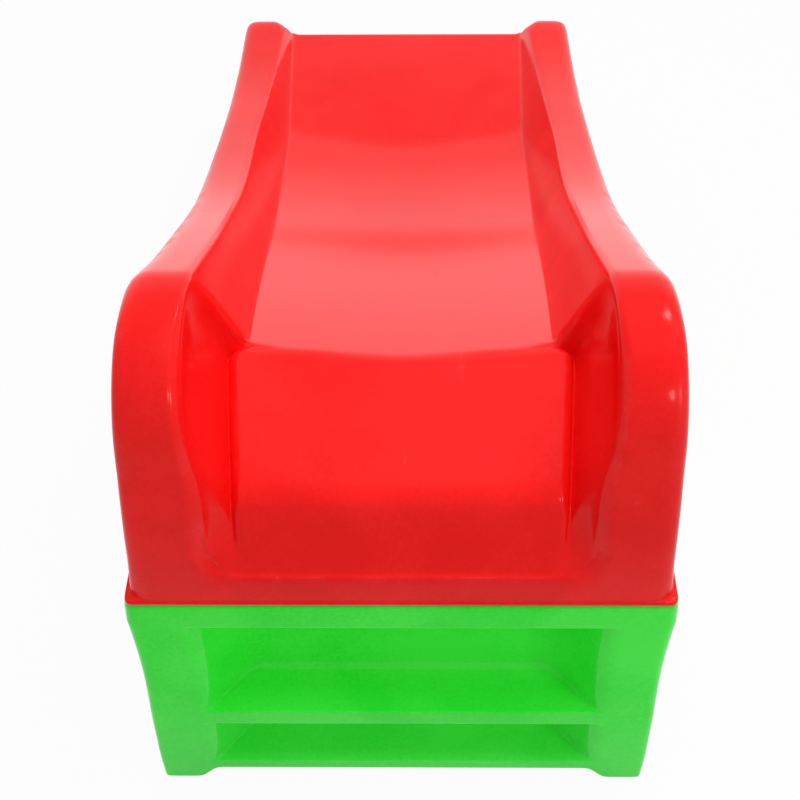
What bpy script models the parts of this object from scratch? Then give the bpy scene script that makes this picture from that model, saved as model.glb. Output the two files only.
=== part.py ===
# Toddlers' slide: a moulded chute shell bolted to a moulded two-step base.
# Metres, +Z up. X runs across the slide, the climbing end faces -Y and the run-out points to +Y.
# Outlines are written in the side view as (run, height): run is measured back from the climbing face.

import math

import bmesh
import bpy
from mathutils import Vector

# The base
base_half_width = 0.250
base_length = 0.440
base_wall = 0.004
base_corner = 0.012
post_width = 0.056
band_height = 0.035
upper_pocket_height = 0.140
rung_height = 0.022
lower_pocket_height = 0.071
sill_height = 0.012
foot_height = 0.018
foot_length = 0.060
foot_round = 0.010
pocket_depth = 0.056
pocket_side_lean = 0.044  # each side of a foot pocket comes in by this much towards its back
pocket_round = 0.008

# The chute, across
shell_wall = 0.004
rim_overhang = 0.0045  # the rim stands this far out from the foot of the wall
side_draft = 0.030  # the side walls lean out by this much per metre of drop
shoulder_round = 0.022
arm_width = 0.0745  # from the base's side to the opening between the arms
rail_width_top = 0.069  # from the base's side to the trough where the bed starts
rail_width_end = 0.058  # the same at the run-out
wall_slope_top = 2.15  # rise of the trough's side for each unit it comes in
wall_slope_end = 1.9
opening_corner = 0.034  # rounding of the U-shaped opening's lower corners
bed_corner = 0.010
bed_dish = 0.013
groove_width = 0.023  # of the grooves between the riser and the arms
groove_depth = 0.034
groove_corner = 0.005
groove_round = 0.015  # how far the grooves take to open and to close

# The chute, in the side view
slide_length = 1.205
arm_height = 0.257  # above the base
nose_radius = 0.105
front_step = 0.0020  # the arms' feet stand this far behind the rim
front_lean = 0.0195  # the arms' front faces lean back by this much up to the nose
lip_height = 0.036  # above the base
lip_depth = 0.007
riser_knee_run = 0.024  # behind the lip
riser_knee_rise = 0.0475  # above the lip
lip_round = 0.001
riser_round_share = 0.6  # of the riser's upper stretch that bends with its knee
crest_run = 0.159
crest_height = 0.165  # above the base
crest_round = 0.020
bed_slope = 0.455
bed_bend_run = 0.720
bed_bend_before = 0.28  # share of the bed that has begun to level out before its bend
bed_bend_after = 0.7
runout_round = 0.020
runout_start = 0.925
runout_height = 0.1745  # above the ground
rail_crest_length = 0.030
rail_slope = 0.540
rail_bend_before = 0.6  # share of the rail's fall that bends towards level
rail_bend_after = 0.7
rail_end_height = 0.207  # above the ground
rail_tip_radius = 0.032
bed_tip_radius = 0.008
tip_lean = 0.006
ground_run = 0.880  # where the shell's lower edge has come down to the ground

# The bolts that join the two mouldings
bolt_front = 0.065  # from the base's front to the first bolts
bolt_back = 0.055  # from the base's back to the last bolts
bolt_inset = 0.030  # from the base's sides
bolt_diameter = 0.008
hole_clearance = 0.0005
head_across_flats = 0.013
head_height = 0.0053
nut_height = 0.0065
washer_diameter = 0.016
washer_thickness = 0.0016
bolt_spare = 0.004  # the bolt's end stands this far out of its nut
tab_length = 0.040
tab_width = 0.042
tab_thickness = 0.006

gap = 0.0003  # clearance between pieces that touch
overlap = 0.004  # how far joined or cut shapes pass through each other
round_facets = 24

base_height = (
    foot_height
    + sill_height
    + lower_pocket_height
    + rung_height
    + upper_pocket_height
    + band_height
)
rim_bottom = base_height + gap
rim_top = rim_bottom + shell_wall
wall_foot = base_half_width - rim_overhang
mouth_front = base_half_width - arm_width
mouth_top = base_half_width - rail_width_top
mouth_end = base_half_width - rail_width_end
riser_half_width = mouth_front - groove_width
arm_top = base_height + arm_height
nose_run = front_step + front_lean + nose_radius
nose_height = arm_top - nose_radius
lip_top = base_height + lip_height
lip_end = front_step + lip_depth
crest = (crest_run, base_height + crest_height)
bolt_radius = bolt_diameter / 2
bolt_side = base_half_width - bolt_inset
bolt_middle = (bolt_front + base_length - bolt_back) / 2
bolt_runs = (bolt_front, bolt_middle, base_length - bolt_back)


def mix(start, end, share):
    return start + (end - start) * share


def ease(share):
    share = min(max(share, 0.0), 1.0)
    return share * share * (3 - 2 * share)


def steps(start, end, count):
    return [mix(start, end, number / count) for number in range(count + 1)]


# Curves in the side view


def point_on(start, end, run):
    return (run, mix(start[1], end[1], (run - start[0]) / (end[0] - start[0])))


def parabola_height(run, start, corner, end):
    """Height at run on the parabola from start to end whose end tangents meet at corner."""
    a = start[0] - 2 * corner[0] + end[0]
    b = 2 * (corner[0] - start[0])
    c = start[0] - run
    if abs(a) < 1e-9:
        t = -c / b
    else:
        t = (-b + math.sqrt(max(b * b - 4 * a * c, 0.0))) / (2 * a)
    return start[1] * (1 - t) ** 2 + 2 * corner[1] * t * (1 - t) + end[1] * t * t


def bent_line_height(run, points, bends):
    """Height at run on a line through points whose inner corners are bent, from before to after."""
    for number, (before, after) in enumerate(bends, 1):
        previous, corner, following = points[number - 1 : number + 2]
        start = point_on(previous, corner, corner[0] - before)
        end = point_on(corner, following, corner[0] + after)
        if start[0] <= run <= end[0]:
            return parabola_height(run, start, corner, end)
    for start, end in zip(points, points[1:]):
        if run <= end[0]:
            return point_on(start, end, run)[1]
    return points[-1][1]


rail_fall_run = nose_run + rail_crest_length
rail_level_run = rail_fall_run + (arm_top - rail_end_height) / rail_slope
rail_points = (
    (nose_run, arm_top),
    (rail_fall_run, arm_top),
    (rail_level_run, rail_end_height),
    (slide_length, rail_end_height),
)
rail_bends = (
    (rail_crest_length, rail_crest_length),
    (
        rail_bend_before * (rail_level_run - rail_fall_run),
        rail_bend_after * (slide_length - rail_level_run),
    ),
)

lip_edge = (lip_end, lip_top)
riser_knee = (lip_end + riser_knee_run, lip_top + riser_knee_rise)
bed_bend = (bed_bend_run, crest[1] - bed_slope * (bed_bend_run - crest[0]))
floor_points = (
    (-slide_length, lip_top),
    lip_edge,
    riser_knee,
    crest,
    bed_bend,
    (runout_start, runout_height),
    (slide_length, runout_height),
)
floor_bends = (
    (lip_round, lip_round),
    (riser_knee_run - 2 * lip_round, riser_round_share * (crest[0] - riser_knee[0])),
    (crest_round, crest_round),
    (bed_bend_before * (bed_bend_run - crest_run), bed_bend_after * (runout_start - bed_bend_run)),
    (runout_round, runout_round),
)


def rail_height(run):
    return bent_line_height(run, rail_points, rail_bends)


def floor_height(run):
    """Lip, riser, bed and run-out, down to the rounded edge at the tip."""
    past = run - (tip_run() - bed_tip_radius)
    drop = 0.0
    if past > 0:
        drop = bed_tip_radius - math.sqrt(max(bed_tip_radius**2 - past**2, 0.0))
    return bent_line_height(run, floor_points, floor_bends) - drop


def tip_run():
    """Run of the end wall just under the run-out's edge."""
    return slide_length - front_step - tip_lean


def side_half_width(height):
    """Half the shell's width at a height: it grows downwards with the draft."""
    return wall_foot + side_draft * (rim_top - height)


# Objects, materials and cuts


def clear_scene():
    for obj in list(bpy.data.objects):
        bpy.data.objects.remove(obj, do_unlink=True)


def new_collection(name):
    collection = bpy.data.collections.new(name)
    bpy.context.scene.collection.children.link(collection)
    return collection


def material(name, colour, roughness, metallic):
    shader_material = bpy.data.materials.new(name)
    shader_material.use_nodes = True
    shader = shader_material.node_tree.nodes["Principled BSDF"]
    shader.inputs["Base Color"].default_value = (*colour, 1.0)
    shader.inputs["Roughness"].default_value = roughness
    shader.inputs["Metallic"].default_value = metallic
    return shader_material


def mesh_object(name, bm, collection, surface=None):
    bmesh.ops.recalc_face_normals(bm, faces=bm.faces)
    mesh = bpy.data.meshes.new(name)
    bm.to_mesh(mesh)
    bm.free()
    obj = bpy.data.objects.new(name, mesh)
    collection.objects.link(obj)
    if surface:
        mesh.materials.append(surface)
    return obj


def as_cutter(obj):
    obj.hide_render = True
    obj.display_type = "WIRE"
    return obj


def boolean(obj, operation, other):
    modifier = obj.modifiers.new(other.name, "BOOLEAN")
    modifier.operation = operation
    modifier.object = other
    return modifier


def box(bm, low, high):
    """A box between two corners, its run given from the climbing face."""
    size = [high[axis] - low[axis] for axis in range(3)]
    centre = Vector([(high[axis] + low[axis]) / 2 for axis in range(3)])
    centre.y -= slide_length / 2
    made = bmesh.ops.create_cube(bm, size=1.0)
    bmesh.ops.scale(bm, vec=size, verts=made["verts"])
    bmesh.ops.translate(bm, vec=centre, verts=made["verts"])
    return made["verts"]


def loft(bm, sections):
    """Quads between closed sections of as many points, and a face at each end."""
    rings = [[bm.verts.new(point) for point in section] for section in sections]
    for ring, following in zip(rings, rings[1:]):
        for number in range(len(ring)):
            after = (number + 1) % len(ring)
            bm.faces.new((ring[number], ring[after], following[after], following[number]))
    bm.faces.new(rings[0])
    bm.faces.new(rings[-1])


# The chute shell


def body_outline(inset):
    """The shell's side view over its walls, moved in by inset, from front foot to tip foot."""
    radius = nose_radius - inset
    outline = []
    for turn in steps(0, math.pi / 2, 7):
        run = nose_run - radius * math.cos(turn)
        outline.append((run, nose_height + radius * math.sin(turn)))
    fall_end = tip_run() - rail_tip_radius
    for run in steps(nose_run, fall_end, 22)[1:]:
        slope = (rail_height(run + gap) - rail_height(run - gap)) / (2 * gap)
        length = math.hypot(1, slope)
        outline.append((run + inset * slope / length, rail_height(run) - inset / length))
    centre_height = rail_end_height - rail_tip_radius
    for turn in steps(0, math.pi / 2, 4)[1:]:
        radius = rail_tip_radius - inset
        outline.append((fall_end + radius * math.sin(turn), centre_height + radius * math.cos(turn)))
    return outline


def chute_body(inset, collection):
    """The closed form over the arms and rails. With an inset it is the hollow inside the wall."""
    lift = -overlap if inset else gap
    outline = body_outline(inset)
    upper_count = len(outline)
    outline.append((slide_length - front_step - inset, lift))
    outline.append((ground_run, lift))
    outline.append((base_length, rim_bottom + lift))
    outline.append((front_step + inset, rim_bottom + lift))
    bm = bmesh.new()
    sides = []
    for sign in (-1, 1):
        side = []
        for run, height in outline:
            across = sign * (side_half_width(height) - inset)
            side.append(bm.verts.new((across, run - slide_length / 2, height)))
        sides.append(side)
        bm.faces.new(side)
    rounded = []
    for number in range(len(outline)):
        after = (number + 1) % len(outline)
        face = bm.faces.new((sides[0][number], sides[0][after], sides[1][after], sides[1][number]))
        if number >= upper_count and after != 0:
            continue
        for edge in face.edges:
            ends = set(edge.verts)
            if ends <= set(sides[0]) or ends <= set(sides[1]):
                rounded.append(edge)
    bmesh.ops.recalc_face_normals(bm, faces=bm.faces)
    bmesh.ops.bevel(
        bm,
        geom=rounded,
        offset=shoulder_round - inset,
        segments=4,
        profile=0.5,
        affect="EDGES",
        offset_type="OFFSET",
    )
    name = "hollow" if inset else "body"
    return mesh_object(name, bm, collection)


def mouth_half_width(run):
    if run <= crest_run:
        return mix(mouth_front, mouth_top, ease(run / crest_run))
    return mix(mouth_top, mouth_end, ease((run - crest_run) / (runout_start - crest_run)))


def groove_share(run):
    """How far the section has turned into riser and grooves: 0 at the lip and on the bed."""
    return ease((run - lip_end) / groove_round) * ease((crest_run + groove_round - run) / groove_round)


def trough_section(run, grow):
    """The section cut away: floor, a groove or a rounded corner each side, leaning walls, no top."""
    floor = floor_height(run) - grow
    rail = rail_height(max(run, nose_run))
    mouth = mouth_half_width(run) + grow
    lean_share = ease((run - (crest_run - crest_round)) / (2 * crest_round))
    wall_slope = mix(wall_slope_top, wall_slope_end, ease((run - crest_run) / bed_bend_run))
    foot = mouth - lean_share * (rail - floor_height(run)) / wall_slope
    corner = mix(opening_corner, bed_corner, ease((run - lip_end) / riser_knee_run))
    dish = bed_dish * ease((run - lip_end) / (crest_run - lip_end))
    dish *= 1 - ease((run - runout_start) / (slide_length - runout_start))
    side = Vector((mouth - foot, rail + grow - floor)).normalized()
    plain = (
        (foot - corner, floor),
        (foot - corner * 0.6, floor + corner * 0.08),
        (foot - corner * 0.25, floor + corner * 0.3),
        (foot + side.x * corner, floor + side.y * corner),
    )
    riser = riser_half_width - grow
    bottom = floor - groove_depth
    grooved = (
        (riser, floor),
        (riser + groove_corner, bottom),
        (mouth - groove_corner, bottom),
        (mouth, bottom + groove_corner),
    )
    share = groove_share(run)
    edge = [tuple(mix(a, b, share) for a, b in zip(*pair)) for pair in zip(plain, grooved)]
    half = [(0.0, floor - dish), (edge[0][0] * 0.55, floor - dish * 0.7), *edge]
    head = (mouth + side.x * overlap, rail + grow + side.y * overlap)
    half += [head, (head[0] + gap, arm_top + overlap * 4)]
    points = half + [(-across, height) for across, height in reversed(half[1:])]
    return [Vector((across, run - slide_length / 2, height)) for across, height in points]


def trough(grow, collection):
    """What is cut away over the lip, the riser, the bed and the run-out."""
    runs = steps(-overlap * 5, lip_end - lip_round, 2)
    runs += steps(lip_end + lip_round, lip_end + groove_round, 2)
    runs += steps(lip_end + groove_round, riser_knee[0], 2)[1:]
    runs += steps(riser_knee[0], crest_run - crest_round, 4)[1:]
    runs += steps(crest_run - crest_round, crest_run + crest_round, 4)[1:]
    runs += steps(crest_run + crest_round, runout_start - runout_round, 13)[1:]
    runs += [runout_start, runout_start + runout_round]
    tip_start = tip_run() - bed_tip_radius
    runs += steps(runout_start + runout_round, tip_start, 3)[1:]
    runs += [tip_start + bed_tip_radius * share for share in (0.5, 0.8, 0.95)]
    runs += [slide_length + overlap]
    bm = bmesh.new()
    loft(bm, [trough_section(run, grow) for run in runs])
    return as_cutter(mesh_object("trough_grown" if grow else "trough", bm, collection))


def rim_slab(collection):
    """A slab along the shell's lower edge: what the hollow leaves of it is the rim."""
    bm = bmesh.new()
    outline = [(0.0, rim_bottom), (base_length, rim_bottom), (ground_run, 0.0), (slide_length, 0.0)]
    sections = []
    for run, height in outline:
        half = side_half_width(height) + rim_overhang
        section = []
        for across, level in ((-half, 0), (half, 0), (half, shell_wall), (-half, shell_wall)):
            section.append(Vector((across, run - slide_length / 2, height + level)))
        sections.append(section)
    loft(bm, sections)
    return as_cutter(mesh_object("rim", bm, collection))


def bolt_places():
    for run in bolt_runs:
        for sign in (-1, 1):
            yield sign * bolt_side, run


def bolt_tabs(collection):
    """Tabs inside the shell's rim, one over each bolt."""
    tabs = []
    for number, (across, run) in enumerate(bolt_places(), 1):
        bm = bmesh.new()
        sign = math.copysign(1, across)
        outer = side_half_width(rim_top) - shell_wall / 2
        ends = sorted((sign * outer, sign * (outer - tab_width)))
        low = (ends[0], run - tab_length / 2, rim_bottom)
        high = (ends[1], run + tab_length / 2, rim_bottom + tab_thickness)
        box(bm, low, high)
        tabs.append(as_cutter(mesh_object(f"tab_{number}", bm, collection)))
    return tabs


def peg(name, across, run, low, high, radius, collection):
    bm = bmesh.new()
    bmesh.ops.create_cone(
        bm,
        cap_ends=True,
        segments=round_facets,
        radius1=radius,
        radius2=radius,
        depth=high - low,
    )
    place = Vector((across, run - slide_length / 2, (low + high) / 2))
    bmesh.ops.translate(bm, vec=place, verts=bm.verts)
    return as_cutter(mesh_object(name, bm, collection))


def bolt_holes(collection):
    holes = []
    for number, (across, run) in enumerate(bolt_places(), 1):
        low = rim_bottom - base_wall - overlap
        high = rim_bottom + tab_thickness + overlap
        radius = bolt_radius + hole_clearance
        holes.append(
            peg(f"hole_{number}", across, run, low, high, radius, collection)
        )
    return holes


def chute_shell(parts, cutters, holes):
    shell = chute_body(0.0, parts)
    shell.name = "chute_shell"
    shell.data.materials.append(material("chute red", (0.90, 0.015, 0.015), 0.22, 0.0))
    boolean(shell, "UNION", rim_slab(cutters))
    boolean(shell, "DIFFERENCE", trough(0.0, cutters))
    hollow = as_cutter(chute_body(shell_wall, cutters))
    boolean(hollow, "DIFFERENCE", trough(shell_wall, cutters))
    boolean(shell, "DIFFERENCE", hollow)
    for tab in bolt_tabs(cutters):
        boolean(shell, "UNION", tab)
    for hole in holes:
        boolean(shell, "DIFFERENCE", hole)
    return shell


# The step base


def rounded_block(name, low, high, corner, collection):
    """A box with its four upright edges rounded."""
    bm = bmesh.new()
    box(bm, low, high)
    upright = [e for e in bm.edges if abs(e.verts[0].co.z - e.verts[1].co.z) > 1e-6]
    bmesh.ops.bevel(bm, geom=upright, offset=corner, segments=4, profile=0.5, affect="EDGES")
    return mesh_object(name, bm, collection)


def pocket(name, bottom, height, grow, collection):
    """A foot pocket in the base's front, its sides leaning in towards the back."""
    half = base_half_width - post_width + grow
    low = bottom - grow
    high = bottom + height + grow
    front = gap if grow else -overlap
    back = pocket_depth + grow
    lean = pocket_side_lean * (back - front) / pocket_depth
    bm = bmesh.new()
    sections = []
    for run, width in ((front, half), (back, half - lean)):
        section = []
        for across, level in ((-width, low), (width, low), (width, high), (-width, high)):
            section.append(Vector((across, run - slide_length / 2, level)))
        sections.append(section)
    loft(bm, sections)
    back_edges = [e for e in bm.edges if min(v.co.y for v in e.verts) > back - slide_length / 2 - gap]
    bmesh.ops.recalc_face_normals(bm, faces=bm.faces)
    bmesh.ops.bevel(
        bm,
        geom=back_edges,
        offset=pocket_round + grow,
        segments=3,
        profile=0.5,
        affect="EDGES",
    )
    return as_cutter(mesh_object(name, bm, collection))


def base_hollow(cutters):
    low = (base_wall - base_half_width, base_wall, -overlap)
    high = (base_half_width - base_wall, base_length - base_wall, base_height - base_wall)
    corner = base_corner - base_wall
    return as_cutter(rounded_block("base_hollow", low, high, corner, cutters))


def arch(name, low, high, axis, cutters):
    """A box-shaped cutter whose two upper edges along an axis are rounded."""
    bm = bmesh.new()
    box(bm, low, high)
    upper = []
    for edge in bm.edges:
        ends = [vert.co for vert in edge.verts]
        level = min(end.z for end in ends) > high[2] - gap
        if level and abs(ends[0][axis] - ends[1][axis]) > gap:
            upper.append(edge)
    bmesh.ops.bevel(bm, geom=upper, offset=foot_round, segments=4, profile=0.5, affect="EDGES")
    return as_cutter(mesh_object(name, bm, cutters))


def step_base(parts, cutters, holes):
    low = (-base_half_width, 0.0, 0.0)
    high = (base_half_width, base_length, base_height)
    base = rounded_block("step_base", low, high, base_corner, parts)
    base.data.materials.append(material("base green", (0.06, 0.68, 0.05), 0.28, 0.0))
    lower_floor = foot_height + sill_height
    upper_floor = lower_floor + lower_pocket_height + rung_height
    pockets = {
        "lower_pocket": (lower_floor, lower_pocket_height),
        "upper_pocket": (upper_floor, upper_pocket_height),
    }
    hollow = base_hollow(cutters)
    for name, (bottom, height) in pockets.items():
        boolean(hollow, "DIFFERENCE", pocket(f"{name}_wall", bottom, height, base_wall, cutters))
    boolean(base, "DIFFERENCE", hollow)
    for name, (bottom, height) in pockets.items():
        boolean(base, "DIFFERENCE", pocket(name, bottom, height, 0.0, cutters))
    between = base_half_width - post_width
    reach = base_half_width + overlap
    low = (-between, -overlap, -overlap)
    high = (between, base_length + overlap, foot_height)
    boolean(base, "DIFFERENCE", arch("under_sill", low, high, 1, cutters))
    low = (-reach, foot_length, -overlap)
    high = (reach, base_length - foot_length, foot_height)
    boolean(base, "DIFFERENCE", arch("under_sides", low, high, 0, cutters))
    for hole in holes:
        boolean(base, "DIFFERENCE", hole)
    return base


# Bolts, washers and nuts


def hex_prism(bm, low, high):
    made = bmesh.ops.create_cone(
        bm,
        cap_ends=True,
        segments=6,
        radius1=head_across_flats / math.sqrt(3),
        radius2=head_across_flats / math.sqrt(3),
        depth=high - low,
    )
    bmesh.ops.translate(bm, vec=(0, 0, (low + high) / 2), verts=made["verts"])


def turned(name, outline, collection):
    """A solid turned about its own Z axis from an outline of (radius, height), top to bottom."""
    bm = bmesh.new()
    points = [bm.verts.new((radius, 0, height)) for radius, height in outline]
    for start, end in zip(points, points[1:]):
        bm.edges.new((start, end))
    mesh = bpy.data.meshes.new(name)
    bm.to_mesh(mesh)
    bm.free()
    obj = bpy.data.objects.new(name, mesh)
    collection.objects.link(obj)
    screw = obj.modifiers.new("turn", "SCREW")
    screw.steps = round_facets
    screw.render_steps = round_facets
    screw.use_merge_vertices = True
    screw.merge_threshold = 0.0001
    return obj


def washer_outline():
    inner = bolt_radius + hole_clearance
    outer = washer_diameter / 2
    return (
        (inner, washer_thickness),
        (outer, washer_thickness),
        (outer, 0.0),
        (inner, 0.0),
        (inner, washer_thickness),
    )


def fasteners(parts, cutters):
    """A bolt, two washers and a nut at each bolt place, clamping the tab on the deck."""
    steel = material("bolt steel", (0.55, 0.56, 0.58), 0.35, 1.0)
    seat = rim_bottom + tab_thickness + gap
    head_low = seat + washer_thickness + gap
    deck_low = base_height - base_wall
    washer_low = deck_low - gap - washer_thickness
    nut_high = washer_low - gap
    shank_low = nut_high - nut_height - bolt_spare
    for number, (across, run) in enumerate(bolt_places(), 1):
        place = Vector((across, run - slide_length / 2, 0))
        bm = bmesh.new()
        hex_prism(bm, head_low, head_low + head_height)
        bolt = mesh_object(f"bolt_{number}", bm, parts, steel)
        bolt.location = place
        shank = peg(
            f"shank_{number}",
            across,
            run,
            shank_low,
            head_low + head_height / 2,
            bolt_radius,
            cutters,
        )
        boolean(bolt, "UNION", shank)
        for name, height in (("washer_top", seat), ("washer_low", washer_low)):
            washer = turned(f"{name}_{number}", washer_outline(), parts)
            washer.data.materials.append(steel)
            washer.location = place + Vector((0, 0, height))
        bm = bmesh.new()
        hex_prism(bm, nut_high - nut_height, nut_high)
        nut = mesh_object(f"nut_{number}", bm, parts, steel)
        nut.location = place
        bore = peg(
            f"nut_bore_{number}",
            across,
            run,
            nut_high - nut_height - overlap,
            nut_high + overlap,
            bolt_radius + gap,
            cutters,
        )
        boolean(nut, "DIFFERENCE", bore)


def main():
    clear_scene()
    parts = new_collection("kids_slide")
    cutters = new_collection("cutters")
    holes = bolt_holes(cutters)
    chute_shell(parts, cutters, holes)
    step_base(parts, cutters, holes)
    fasteners(parts, cutters)


main()
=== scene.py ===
# Toddlers' slide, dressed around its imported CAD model.
# X runs across the slide, Y along it and Z up. A run is a distance back from the climbing face.

import math

import bmesh
import bpy
from mathutils import Matrix, Vector


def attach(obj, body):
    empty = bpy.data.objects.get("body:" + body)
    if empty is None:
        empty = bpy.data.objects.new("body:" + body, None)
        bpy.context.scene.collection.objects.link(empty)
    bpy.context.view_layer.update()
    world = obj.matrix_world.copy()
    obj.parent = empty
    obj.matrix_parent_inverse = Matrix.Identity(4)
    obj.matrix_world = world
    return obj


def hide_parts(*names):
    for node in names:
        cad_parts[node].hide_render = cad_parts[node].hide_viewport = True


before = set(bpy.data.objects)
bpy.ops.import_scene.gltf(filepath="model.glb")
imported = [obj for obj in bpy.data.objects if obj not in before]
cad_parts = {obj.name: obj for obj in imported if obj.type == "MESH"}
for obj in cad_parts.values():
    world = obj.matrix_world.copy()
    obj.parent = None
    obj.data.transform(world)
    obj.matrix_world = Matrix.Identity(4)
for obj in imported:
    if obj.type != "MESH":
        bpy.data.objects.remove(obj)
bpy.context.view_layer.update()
scene = bpy.context.scene


def mix(start, end, share):
    return start + (end - start) * share


def clamp(share):
    return min(max(share, 0.0), 1.0)


def ease(share):
    share = clamp(share)
    return share * share * (3 - 2 * share)


def mixPoint(start, end, share):
    return tuple(mix(a, b, share) for a, b in zip(start, end))


def along(value, places):
    # straight lines between (value, result) places, level beyond the ends
    for (low, first), (high, second) in zip(places, places[1:]):
        if value <= high:
            return mix(first, second, max(value - low, 0.0) / (high - low))
    return places[-1][1]


# Shader maths: an expression on wires adds its Math nodes


class Wire:
    def __init__(self, tree, socket):
        self.tree = tree
        self.socket = socket

    def maths(self, operation, first, second):
        sockets = {0: first, 1: second}
        return self.tree.node("ShaderNodeMath", {"operation": operation}, sockets)

    def __add__(self, other):
        return self.maths("ADD", self, other)

    def __sub__(self, other):
        return self.maths("SUBTRACT", self, other)

    def __rsub__(self, other):
        return self.maths("SUBTRACT", other, self)

    def __mul__(self, other):
        return self.maths("MULTIPLY", self, other)

    __radd__ = __add__
    __rmul__ = __mul__

    def orLarger(self, other):
        return self.maths("MAXIMUM", self, other)

    def between(self, low, high):
        # 0 at low, 1 at high, eased
        settings = {"interpolation_type": "SMOOTHSTEP"}
        sockets = {"Value": self, "From Min": low, "From Max": high}
        return self.tree.node("ShaderNodeMapRange", settings, sockets)


class Finish:
    # the nodes of a material or of the world, and the one method that adds to them
    def __init__(self, owner):
        owner.use_nodes = True
        self.owner = owner
        self.nodes = owner.node_tree.nodes
        self.links = owner.node_tree.links
        self.nodes.clear()

    def node(self, kind, settings=None, sockets=None, out=0):
        made = self.nodes.new(kind)
        for name, value in (settings or {}).items():
            setattr(made, name, value)
        for name, value in (sockets or {}).items():
            if isinstance(value, Wire):
                self.links.new(value.socket, made.inputs[name])
            else:
                made.inputs[name].default_value = value
        return Wire(self, made.outputs[out]) if made.outputs else None

    def noise(self, where, scale, detail, roughness, distortion=0.0):
        sockets = {
            "Vector": where,
            "Scale": scale,
            "Detail": detail,
            "Roughness": roughness,
            "Distortion": distortion,
        }
        return self.node("ShaderNodeTexNoise", {"noise_dimensions": "3D"}, sockets)

    def stretched(self, where, scale, turn=(0.0, 0.0, 0.0)):
        sockets = {"Vector": where, "Scale": scale, "Rotation": turn}
        return self.node("ShaderNodeMapping", {}, sockets)

    def blendColours(self, share, first, second):
        settings = {"data_type": "RGBA", "blend_type": "MIX"}
        return self.node("ShaderNodeMix", settings, {0: share, 6: first, 7: second}, out=2)


# The chute: its sizes, and its two curves in the side view

chute = {
    "length": 1.205,
    "baseLength": 0.440,
    "wall": 0.004,
    "rimLow": 0.2983,
    "rimReach": 0.0045,
    "rimInset": 0.010,  # how far the rim's corners stand in from its ends
    "rimRound": 0.003,
    "rimBend": 0.03,
    "frontStep": 0.0015,
    # half the width over the sides, by height
    "side": (
        (0, 0.2546),
        (0.30, 0.2456),
        (0.34, 0.2424),
        (0.42, 0.2407),
        (0.51, 0.2390),
        (0.56, 0.2386),
    ),
    "armTop": 0.555,
    "noseRadius": 0.105,
    "frontLean": 0.020,
    "lipTop": 0.334,
    "lipDepth": 0.0065,
    "kneeRun": 0.0307,  # the riser's upper bend, from the back of the lip
    "kneeRise": 0.0665,
    "crestRun": 0.159,
    "crestHeight": 0.463,
    "crestRound": 0.020,
    "bedSlope": 0.455,
    "bedBend": 0.720,
    "runoutStart": 0.925,
    "runoutHeight": 0.1770,
    "railCrest": 0.030,
    "railSlope": 0.540,
    "railEnd": 0.2065,
    "railSwell": 0.0135,  # how much fuller the rails' lower half is
    "swellStart": 0.50,
    "swellLength": 0.74,
    "tipRadius": 0.0275,
    "tipLean": 0.006,
    "groundRun": 0.880,
    # how far the shoulder's rounding starts from the corner, by crown step
    "shoulder": (
        (1.4, 0.0080),
        (1.93, 0.0070),
        (2.02, 0.012),
        (2.12, 0.0165),
        (2.35, 0.0120),
        (2.6, 0.0085),
        (3.0, 0.010),
    ),
    "armRound": 0.0080,  # the same on the arms' inner edges
    "railRound": 0.0030,  # and on the rails' inner edges
    "tipRound": 0.017,
    # crown step where the arm's rounding starts to turn into the rail's, and how long it takes
    "railSteps": (1.6, 0.45),
    "tipSteps": (2.93, 0.35),  # and the rail's into the tip's
    "tipEdge": 0.010,
    "lipRound": 0.0035,
    "ledgeInset": 0.0008,  # the rows just before and behind the back of the lip
    "footRound": 0.0022,
    "openingHalf": 0.174,
    "openingCorner": 0.034,
    "openingInset": 0.002,
    "openingFade": 0.031,  # run over which the opening's corner turns into the trough's wall
    # half the trough's width at its edge, by run
    "mouth": (
        (0.15, 0.181),
        (0.34, 0.181),
        (0.59, 0.189),
        (0.79, 0.197),
        (0.99, 0.194),
        (1.2, 0.187),
    ),
    "mouthTaper": 0.033,  # the opening between the arms closes in downwards
    "armFoot": (0.12, 2.0),  # how far out the arm's wall is at its foot, and how fast it opens
    # where the steep wall beside the riser turns into the leaning one: start past the crest,
    # and length
    "turn": (0.008, 0.010),
    "turnTop": (0.060, 0.077),  # how much earlier and longer it is at the wall's top
    # half the bed's width at its foot, by run
    "bedHalf": (
        (0.16, 0.138),
        (0.30, 0.147),
        (0.44, 0.154),
        (0.605, 0.1605),
        (0.74, 0.164),
        (0.92, 0.165),
        (1.2, 0.176),
    ),
    "bedCorner": 0.006,
    # the bed's section: shares of its half width, and how much of the dish is left there
    "bedMiddle": ((0.0, 1.0), (0.42, 0.82), (0.78, 0.45)),  # of the width up to the next point
    "bedSide": ((0.78, 0.34), (0.87, 0.18)),
    "bedEdge": ((2.2, 0.08), (1.3, 0.03)),  # corners in from the foot of the wall
    "creaseBow": 0.028,  # how much earlier the bed's middle meets the run-out
    "creaseReach": 0.20,
    "creaseSoft": 0.0016,
    "dish": 0.013,
    "runoutDish": 0.65,  # share of the dish where the run-out starts
    "runoutLevels": 0.20,  # run over which it goes level
    "riserHalfFoot": 0.1440,
    "riserHalfTop": 0.1545,
    "riserRound": 0.0050,
    "grooveDepth": 0.013,
    "grooveWidth": 0.0045,
    "grooveStart": 0.003,  # how far behind the lip it starts
    "grooveOpens": 0.014,
    "grooveEnd": 0.0180,  # how far past the crest it ends
    "grooveCloses": 0.010,
    "endRun": 1.17,  # where the end face takes its inner width from
}
rimTop = chute["rimLow"] + chute["wall"]
noseRun = chute["frontStep"] + chute["frontLean"] + chute["noseRadius"]
noseHeight = chute["armTop"] - chute["noseRadius"]
lipEnd = chute["frontStep"] + chute["lipDepth"]
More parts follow.
